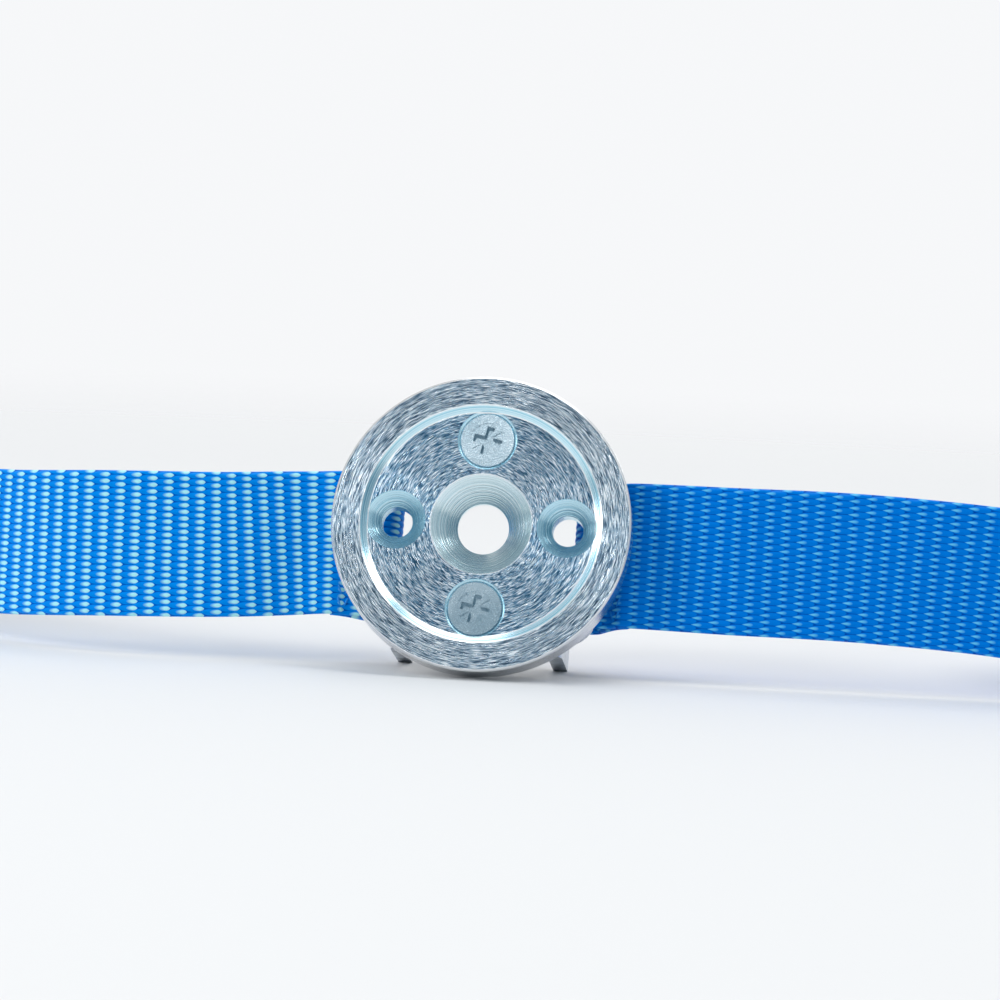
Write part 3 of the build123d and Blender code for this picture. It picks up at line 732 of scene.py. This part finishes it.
@dataclass(frozen=True)
class Station:
    """One cross-section of a ribbon: its middle, the way ahead and the way up across the width."""

    middle: Vector
    ahead: Vector
    up: Vector
    along_mm: float


SPLINE_PARTS = 24
SMOOTHING_PASSES = 30


def length_of(points: list[Vector]) -> float:
    """Length of a line through points."""
    return sum((b - a).length for a, b in zip(points, points[1:]))


def smooth_route(points: list[Vector], step_mm: float) -> list[Vector]:
    """Draw a smooth line through points and divide it evenly.

    Args:
        points: The points, in millimetres.
        step_mm: About how far apart the divisions are.

    Returns:
        Evenly spaced points along the line.
    """
    dense = []
    padded = [points[0] * 2 - points[1], *points, points[-1] * 2 - points[-2]]
    for before, start, end, after in zip(padded, padded[1:], padded[2:], padded[3:]):
        for part in range(SPLINE_PARTS):
            t = part / SPLINE_PARTS
            dense.append(0.5 * (2 * start + (end - before) * t
                                + (2 * before - 5 * start + 4 * end - after) * t * t
                                + (3 * start - before - 3 * end + after) * t**3))
    dense.append(points[-1])
    for _ in range(SMOOTHING_PASSES):
        dense = ([dense[0]] + [(a + 2 * b + c) / 4 for a, b, c in zip(dense, dense[1:], dense[2:])]
                 + [dense[-1]])
    length = length_of(dense)
    gap = length / max(1, round(length / step_mm))
    even, carried = [dense[0]], 0.0
    for a, b in zip(dense, dense[1:]):
        span = (b - a).length
        while carried + span >= gap and span > 0:
            a = a + (b - a) * ((gap - carried) / span)
            even.append(a)
            span = (b - a).length
            carried = 0.0
        carried += span
    if (even[-1] - dense[-1]).length > gap / 2:
        even.append(dense[-1])
    return even


def stations_along(points: list[Vector], up_at: Callable[[float], Vector]) -> list[Station]:
    """Set a cross-section square to the line at each of its points.

    Args:
        points: Evenly spaced points, in millimetres.
        up_at: Gives the direction across the ribbon's width for a share of the length.

    Returns:
        The stations.
    """
    stations, along = [], 0.0
    last = len(points) - 1
    for index, middle in enumerate(points):
        ahead = (points[min(index + 1, last)] - points[max(index - 1, 0)]).normalized()
        up = up_at(index / last)
        up = (up - ahead * up.dot(ahead)).normalized()
        stations.append(Station(middle, ahead, up, along))
        if index < last:
            along += (points[index + 1] - middle).length
    return stations


@dataclass(frozen=True)
class Ribbon:
    """A woven ribbon with thickness, built station by station."""

    name: str
    width_mm: float
    thickness_mm: float
    steps: int
    relief_mm: float = 0.0
    heading: int = 1
    edge_round: float = 0.45

    def section(self) -> list[tuple[float, float, float]]:
        """Points round the cross-section: place across, side (1, 0 or -1) and thickness share."""
        places = [step / self.steps for step in range(self.steps + 1)]
        front = []
        for share in places:
            rim = min(share, 1 - share) * self.width_mm
            full = 1 - self.edge_round * max(0.0, 1 - rim / (self.thickness_mm / 2)) ** 2
            front.append((share * self.width_mm, 1.0, full))
        back = [(place, -1.0, full) for place, _, full in reversed(front)]
        bulge = self.thickness_mm * 0.14
        return front + [(self.width_mm + bulge, 0.0, 0.0)] + back + [(-bulge, 0.0, 0.0), front[0]]

    def build(self, stations: list[Station], weave: Weave) -> bpy.types.Object:
        """Build the ribbon's mesh and its cloth coordinates.

        Args:
            stations: Where the ribbon runs.
            weave: The pattern that raises its surface.

        Returns:
            The ribbon's object.
        """
        section = self.section()
        bm = bmesh.new()
        bmesh.ops.create_grid(bm, x_segments=len(stations) - 1, y_segments=len(section) - 1, size=1.0)
        cloth = bm.loops.layers.uv.new("cloth")
        spots = {}
        half = self.thickness_mm / 2 - self.relief_mm
        for vert in bm.verts:
            station = stations[round((vert.co.x + 1) / 2 * (len(stations) - 1))]
            across, side, full = section[round((vert.co.y + 1) / 2 * (len(section) - 1))]
            raised = 0.0
            if self.relief_mm:
                raised = weave.crown(station.along_mm * self.heading, across) * self.relief_mm
            out = station.up.cross(station.ahead)
            place = station.middle + station.up * (across - self.width_mm / 2)
            place = place + out * side * (half + raised) * full
            vert.co = place * MM
            spots[vert] = (station.along_mm * MM, across * MM)
        for face in bm.faces:
            face.smooth = True
            for loop in face.loops:
                loop[cloth].uv = spots[loop.vert]
        bmesh.ops.remove_doubles(bm, verts=bm.verts, dist=1e-7)
        rims = [edge for edge in bm.edges if edge.is_boundary]
        bmesh.ops.holes_fill(bm, edges=rims, sides=0)
        bmesh.ops.recalc_face_normals(bm, faces=bm.faces)
        return object_from(bm, self.name)


@dataclass
class Webbing:
    """The two straps, their sewn loops, the rolled-up spare length and its tie."""

    weave: Weave
    lean: float
    width_mm: float = 24.3
    thickness_mm: float = 1.3
    bar_out_mm: float = 17.9
    bar_back_mm: float = 8.8
    wire_mm: float = 1.5
    spacer_mm: float = 4.2
    eye_gap_mm: float = 0.5
    seam_mm: float = 8.0
    drop_mm: float = 2.2
    left_leaves: float = math.radians(200.0)
    right_leaves: float = math.radians(-35.0)
    left_arrives: float = math.radians(-8.0)
    right_dips_from_mm: float = 75.0
    right_back_mm: float = 2.0
    loop_share: float = 0.16
    relief_mm: float = 0.2
    roll_hole_mm: float = 6.0
    roll_mm: float = 28.38
    visible_step_mm: float = 0.37
    tie_width_mm: float = 10.0
    tie_mm: float = 1.0
    stitch_rows: int = 3
    stitches: int = 11
    stitch_inset_mm: float = 0.9
    stitch_gap_mm: float = 1.3

    def bar_spot(self, side: int, forward: float, sideways: float, turn: float) -> Vector:
        """A place near a bar, in millimetres.

        Args:
            side: -1 for the left bar, 1 for the right.
            forward: Distance from the bar's middle along the way the strap leaves.
            sideways: Distance to the left of that way.
            turn: The way the strap leaves, in plan.

        Returns:
            The place, leaned back with the disc.
        """
        across = side * self.bar_out_mm + forward * math.cos(turn) - sideways * math.sin(turn)
        back = self.bar_back_mm + forward * math.sin(turn) + sideways * math.cos(turn)
        return Matrix.Rotation(-self.lean, 3, "X") @ Vector((across, back, -self.drop_mm))

    def loop(self, core_mm: float, seam_mm: float, front: int) -> list[tuple[float, float]]:
        """Plan of a sewn loop round a core, from its loose end round to its running end.

        Args:
            core_mm: Radius of what the loop goes round.
            seam_mm: Distance from the core's middle to the seam's end.
            front: 1 or -1, the side of the seam that the strap runs on from.

        Returns:
            Pairs of distance forward and sideways.
        """
        layer = self.thickness_mm / 2
        radius = core_mm + self.eye_gap_mm + layer
        plan = [(seam_mm, -front * layer), ((seam_mm + radius) / 2, -front * layer)]
        for step in range(9):
            turn = math.radians(55 + 31.25 * step)
            plan.append((radius * math.cos(turn), -front * radius * math.sin(turn)))
        plan.append(((seam_mm + radius) / 2, front * layer))
        return plan

    def left_route(self) -> list[Vector]:
        """Where the short strap runs, from its loop on the left bar to its loop in the buckle."""
        start = self.bar_spot(-1, self.seam_mm, self.thickness_mm / 2, self.left_leaves)
        bolt_low, bolt_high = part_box("fixed_end_spacer")
        bolt = (bolt_low + bolt_high) / 2 / MM
        reach = self.seam_mm + self.spacer_mm
        layer = self.thickness_mm / 2
        far = Vector((bolt.x + reach * math.cos(self.left_arrives),
                      bolt.y + reach * math.sin(self.left_arrives) - layer, bolt.z))
        points = [self.bar_spot(-1, forward, sideways, self.left_leaves)
                  for forward, sideways in self.loop(self.wire_mm, self.seam_mm, 1)]
        points.append(start)
        for x, y, sag in ((-32, 4.4, 0.6), (-44, 1.0, 1.4), (-56, -0.3, 2.0), (-66, 0.2, 2.6),
                          (-75, 2.6, 3.4), (-84, 7.2, 4.2), (-96, 14.8, 4.4), (-108, 21.5, 2.8),
                          (-117, 26.0, 1.2)):
            share = (x - start.x) / (far.x - start.x)
            points.append(Vector((x, y, start.z + (far.z - start.z) * share - sag)))
        cosine, sine = math.cos(self.left_arrives), math.sin(self.left_arrives)
        for forward, sideways in reversed(self.loop(self.spacer_mm, reach, -1)):
            points.append(Vector((bolt.x + forward * cosine - sideways * sine,
                                  bolt.y + forward * sine + sideways * cosine, bolt.z)))
        return points

    def right_route(self, roll_middle: Vector) -> list[Vector]:
        """Where the long strap runs, from its loop on the right bar to its roll."""
        start = self.bar_spot(1, self.seam_mm, -self.thickness_mm / 2, self.right_leaves)
        points = [self.bar_spot(1, forward, sideways, self.right_leaves)
                  for forward, sideways in self.loop(self.wire_mm, self.seam_mm, -1)]
        points.append(start)
        back = self.right_back_mm
        for x, y in ((33, 2.9), (42, 2.3), (64, back), (90, back), (107, back), (roll_middle.x, back)):
            share = max(0.0, (x - self.right_dips_from_mm) / (roll_middle.x - self.right_dips_from_mm))
            height = start.z + (roll_middle.z - start.z) * share**2 * (3 - 2 * share)
            points.append(Vector((x, y, height)))
        return points

    def upright_after(self, share_of_loop: float) -> Callable[[float], Vector]:
        """Leaning like the disc in its loop, and turning upright along the strap."""

        def up_at(share: float) -> Vector:
            run = max(0.0, (share - share_of_loop) / (1 - share_of_loop))
            lean = self.lean * (1 - run) ** 2
            return Vector((0.0, math.sin(lean), math.cos(lean)))

        return up_at

    def strap(self, name: str, points: list[Vector], material: bpy.types.Material,
              replaced: str, heading: int) -> bpy.types.Object:
        """Args:
            name: The piece's name.
            points: Its route.
            material: Its cloth.
            replaced: The CAD node that it stands for.
            heading: 1 where the floats' tapered ends point along the route, -1 where they point back.

        Returns:
            The strap.
        """
        route = smooth_route(points, self.visible_step_mm)
        steps = round(self.width_mm / self.weave.row_mm * 4)
        ribbon = Ribbon(name, self.width_mm, self.thickness_mm, steps, self.relief_mm, heading)
        strap = ribbon.build(stations_along(route, self.upright_after(self.loop_share)), self.weave)
        strap.data.materials.append(material)
        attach(strap, Body.DISC.value)
        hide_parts(replaced)
        return strap

    def roll(self, middle: Vector, material: bpy.types.Material) -> bpy.types.Object:
        """Wind the spare length into its roll.

        Args:
            middle: The roll's middle, in millimetres.
            material: Its cloth.

        Returns:
            The roll.
        """
        outer = self.roll_mm - self.thickness_mm / 2
        lap = middle.y - self.right_back_mm - outer
        turn_step = math.radians(5)
        angle, points, wound = 0.0, [], 0.0
        while True:
            eased = min(1.0, angle / math.pi)
            eased = eased * eased * (3 - 2 * eased)
            radius = outer + lap * (1 - eased) - self.thickness_mm * max(0.0, angle - math.pi) / (2 * math.pi)
            if radius < self.roll_hole_mm + self.thickness_mm / 2:
                break
            heading = angle - math.pi / 2
            points.append(middle + Vector((math.cos(heading), math.sin(heading), 0)) * radius)
            wound += radius * turn_step
            angle += turn_step
        ribbon = Ribbon("rolled_webbing", self.width_mm, self.thickness_mm - 0.08, 14)
        stations = stations_along(points, lambda _share: Vector((0, 0, 1)))
        roll = ribbon.build(stations, self.weave)
        roll.data.materials.append(material)
        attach(roll, Body.DISC.value)
        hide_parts("right_strap_roll")
        LOG.info("rolled_webbing: %.0f mm in %.1f turns", wound, angle / (2 * math.pi))
        return roll

    def tie(self, middle: Vector, material: bpy.types.Material) -> bpy.types.Object:
        """Close the hook-and-loop tie through the roll's middle and round its far side."""
        near = middle.y + self.roll_hole_mm - self.tie_mm / 2
        far = middle.y + self.roll_mm + self.tie_mm / 2
        low = middle.z - self.width_mm / 2 - self.tie_mm / 2
        high = middle.z + self.width_mm / 2 + self.tie_mm / 2
        corner = 1.0
        corners = ((near, (low + high) / 2), (near, high), (far, high), (far, low), (near, low),
                   (near, (low + high) / 2))
        points = []
        for before, spot, after in zip((corners[-2], *corners), corners, (*corners[1:], corners[1])):
            here = Vector((middle.x, *spot))
            if spot == corners[0]:
                points.append(here)
                continue
            for other in (before, after):
                points.append(here + (Vector((middle.x, *other)) - here).normalized() * corner)
        route = smooth_route(points, 0.8)
        ribbon = Ribbon("hook_and_loop_tie", self.tie_width_mm, self.tie_mm - 0.1, 12)
        tie = ribbon.build(stations_along(route, lambda _share: Vector((1, 0, 0))), self.weave)
        tie.data.materials.append(material)
        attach(tie, Body.DISC.value)
        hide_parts("roll_tie")
        return tie

    def stitching(self, name: str, side: int, turn: float, material: bpy.types.Material) -> bpy.types.Object:
        """Sew a loop shut with rows of thread across the seam, showing on both faces.

        Args:
            name: The piece's name.
            side: -1 for the left bar, 1 for the right.
            turn: The way the strap leaves the bar.
            material: The thread's finish.

        Returns:
            The stitches, as one piece.
        """
        bm = bmesh.new()
        lean = Matrix.Rotation(-self.lean, 4, "X")
        gap = self.width_mm / (self.stitches + 1)
        for row in range(self.stitch_rows):
            forward = self.seam_mm - self.stitch_inset_mm - row * self.stitch_gap_mm
            for face in (-1, 1):
                spot = self.bar_spot(side, forward, face * (self.thickness_mm - 0.02), turn)
                for stitch in range(self.stitches):
                    rise = (stitch + 1) * gap - self.width_mm / 2
                    place = spot + lean.to_3x3() @ Vector((0, 0, rise))
                    thread = bmesh.ops.create_icosphere(bm, subdivisions=2, radius=1.0)["verts"]
                    slant = Matrix.Rotation(math.radians(24 * (-1) ** row), 4, "Y")
                    size = Matrix.Diagonal((0.19, 0.17, gap * 0.42, 1.0))
                    aimed = Matrix.Rotation(turn, 4, "Z")
                    bmesh.ops.transform(bm, verts=thread,
                                        matrix=Matrix.Translation(place * MM) @ lean @ aimed @ slant
                                        @ Matrix.Scale(MM, 4) @ size)
        for face in bm.faces:
            face.smooth = True
        stitches = object_from(bm, name)
        stitches.data.materials.append(material)
        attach(stitches, Body.DISC.value)
        return stitches


# ---------------------------------------------------------------- metal parts


@dataclass(frozen=True)
class Hardware:
    """Finishes of the disc, claws, bars, fasteners and buckle."""

    lean: float

    def dress(self, groups: SharedGroups) -> None:
        """Give each CAD node its finish by its record's slot."""
        recipes = {
            "turned_steel": TurnedSteel(self.lean),
            "claw_steel": DrawnSteel("claw_strip", (0.34, 0.37, 0.40), (0.74, 0.78, 0.82),
                                     (0.25, 3.5, 3.5), (0.26, 0.42)),
            "wire_steel": DrawnSteel("bar_wire", (0.40, 0.43, 0.46), (0.80, 0.83, 0.86),
                                     (2.5, 2.5, 0.3), (0.2, 0.34)),
            "fastener_zinc": DrawnSteel("bright_zinc", (0.30, 0.45, 0.53), (0.86, 0.95, 0.99),
                                        (8.0, 8.0, 8.0), (0.18, 0.32), bump=0.18, specks=0.15),
            "spring_wire": DrawnSteel("spring_wire", (0.5, 0.52, 0.54), (0.85, 0.87, 0.9),
                                      (0.6, 3.0, 3.0), (0.18, 0.3)),
            "wheel_steel": DrawnSteel("wheel_steel", (0.34, 0.36, 0.37), (0.72, 0.74, 0.75),
                                      (2.2, 0.5, 2.2), (0.28, 0.45)),
            "buckle_steel": DrawnSteel("buckle_steel", (0.42, 0.45, 0.48), (0.80, 0.83, 0.86),
                                       (0.3, 2.6, 2.6), (0.24, 0.4)),
            "grip_plastic": MouldedPlastic(),
        }
        finishes = {slot: recipe.make(groups) for slot, recipe in recipes.items()}
        for row in frame["record"]["subparts"]:
            if row["material_slot"] in finishes:
                dress(row["node"], finishes[row["material_slot"]])
                LOG.info("%s: %s", row["node"], row["material_slot"])


def main() -> None:
    """Build the studio, dress the hardware and make the webbing."""
    logging.basicConfig(level=logging.INFO)
    cad_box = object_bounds()
    scene = bpy.context.scene
    scene.view_settings.view_transform = "Standard"
    bore = next(mount for mount in frame["record"]["mounts"] if mount["name"] == "centre_bore")
    facing = Vector(bore["axis"])
    lean = math.asin(facing.z)
    StudioCamera().place(facing * DISC_THICKNESS)
    studio = Studio()
    studio.light()
    studio.lay_floor(cad_box[0][2])

    weave = Weave()
    groups = SharedGroups(weave)
    Hardware(lean).dress(groups)

    # The two straps are the same webbing in two painted copies: the long strap's cloth is darker, which is
    # painted shade, and its painted highlights are dimmer than the short strap's.
    short = WovenCloth("short_strap_cloth", (0.0, 0.13, 0.62), (0.0, 0.28, 0.90), (0.50, 0.97, 1.0),
                       painted_highlight_from=0.48, painted_highlight_gain=4.5)
    long = WovenCloth("long_strap_cloth", (0.0, 0.09, 0.50), (0.0, 0.22, 0.80), (0.20, 0.78, 1.0),
                      heading=-1, painted_highlight_end=1, painted_highlight_from=0.48, painted_highlight_gain=4.5)
    black = WovenCloth("tie_fabric", (0.004, 0.004, 0.005), (0.02, 0.02, 0.022), (0.05, 0.05, 0.055))
    short_cloth, long_cloth = short.make(groups), long.make(groups)
    webbing = Webbing(weave, lean)
    roll_low, roll_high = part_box("right_strap_roll")
    roll_middle = (roll_low + roll_high) / 2 / MM
    webbing.strap("short_webbing", webbing.left_route(), short_cloth, "left_strap", 1)
    webbing.strap("long_webbing", webbing.right_route(roll_middle), long_cloth, "right_strap", -1)
    webbing.roll(roll_middle, long_cloth)
    webbing.tie(roll_middle, black.make(groups))
    webbing.stitching("short_webbing_stitches", -1, webbing.left_leaves, short_cloth)
    webbing.stitching("long_webbing_stitches", 1, webbing.right_leaves, long_cloth)


if __name__ == "__main__":
    main()
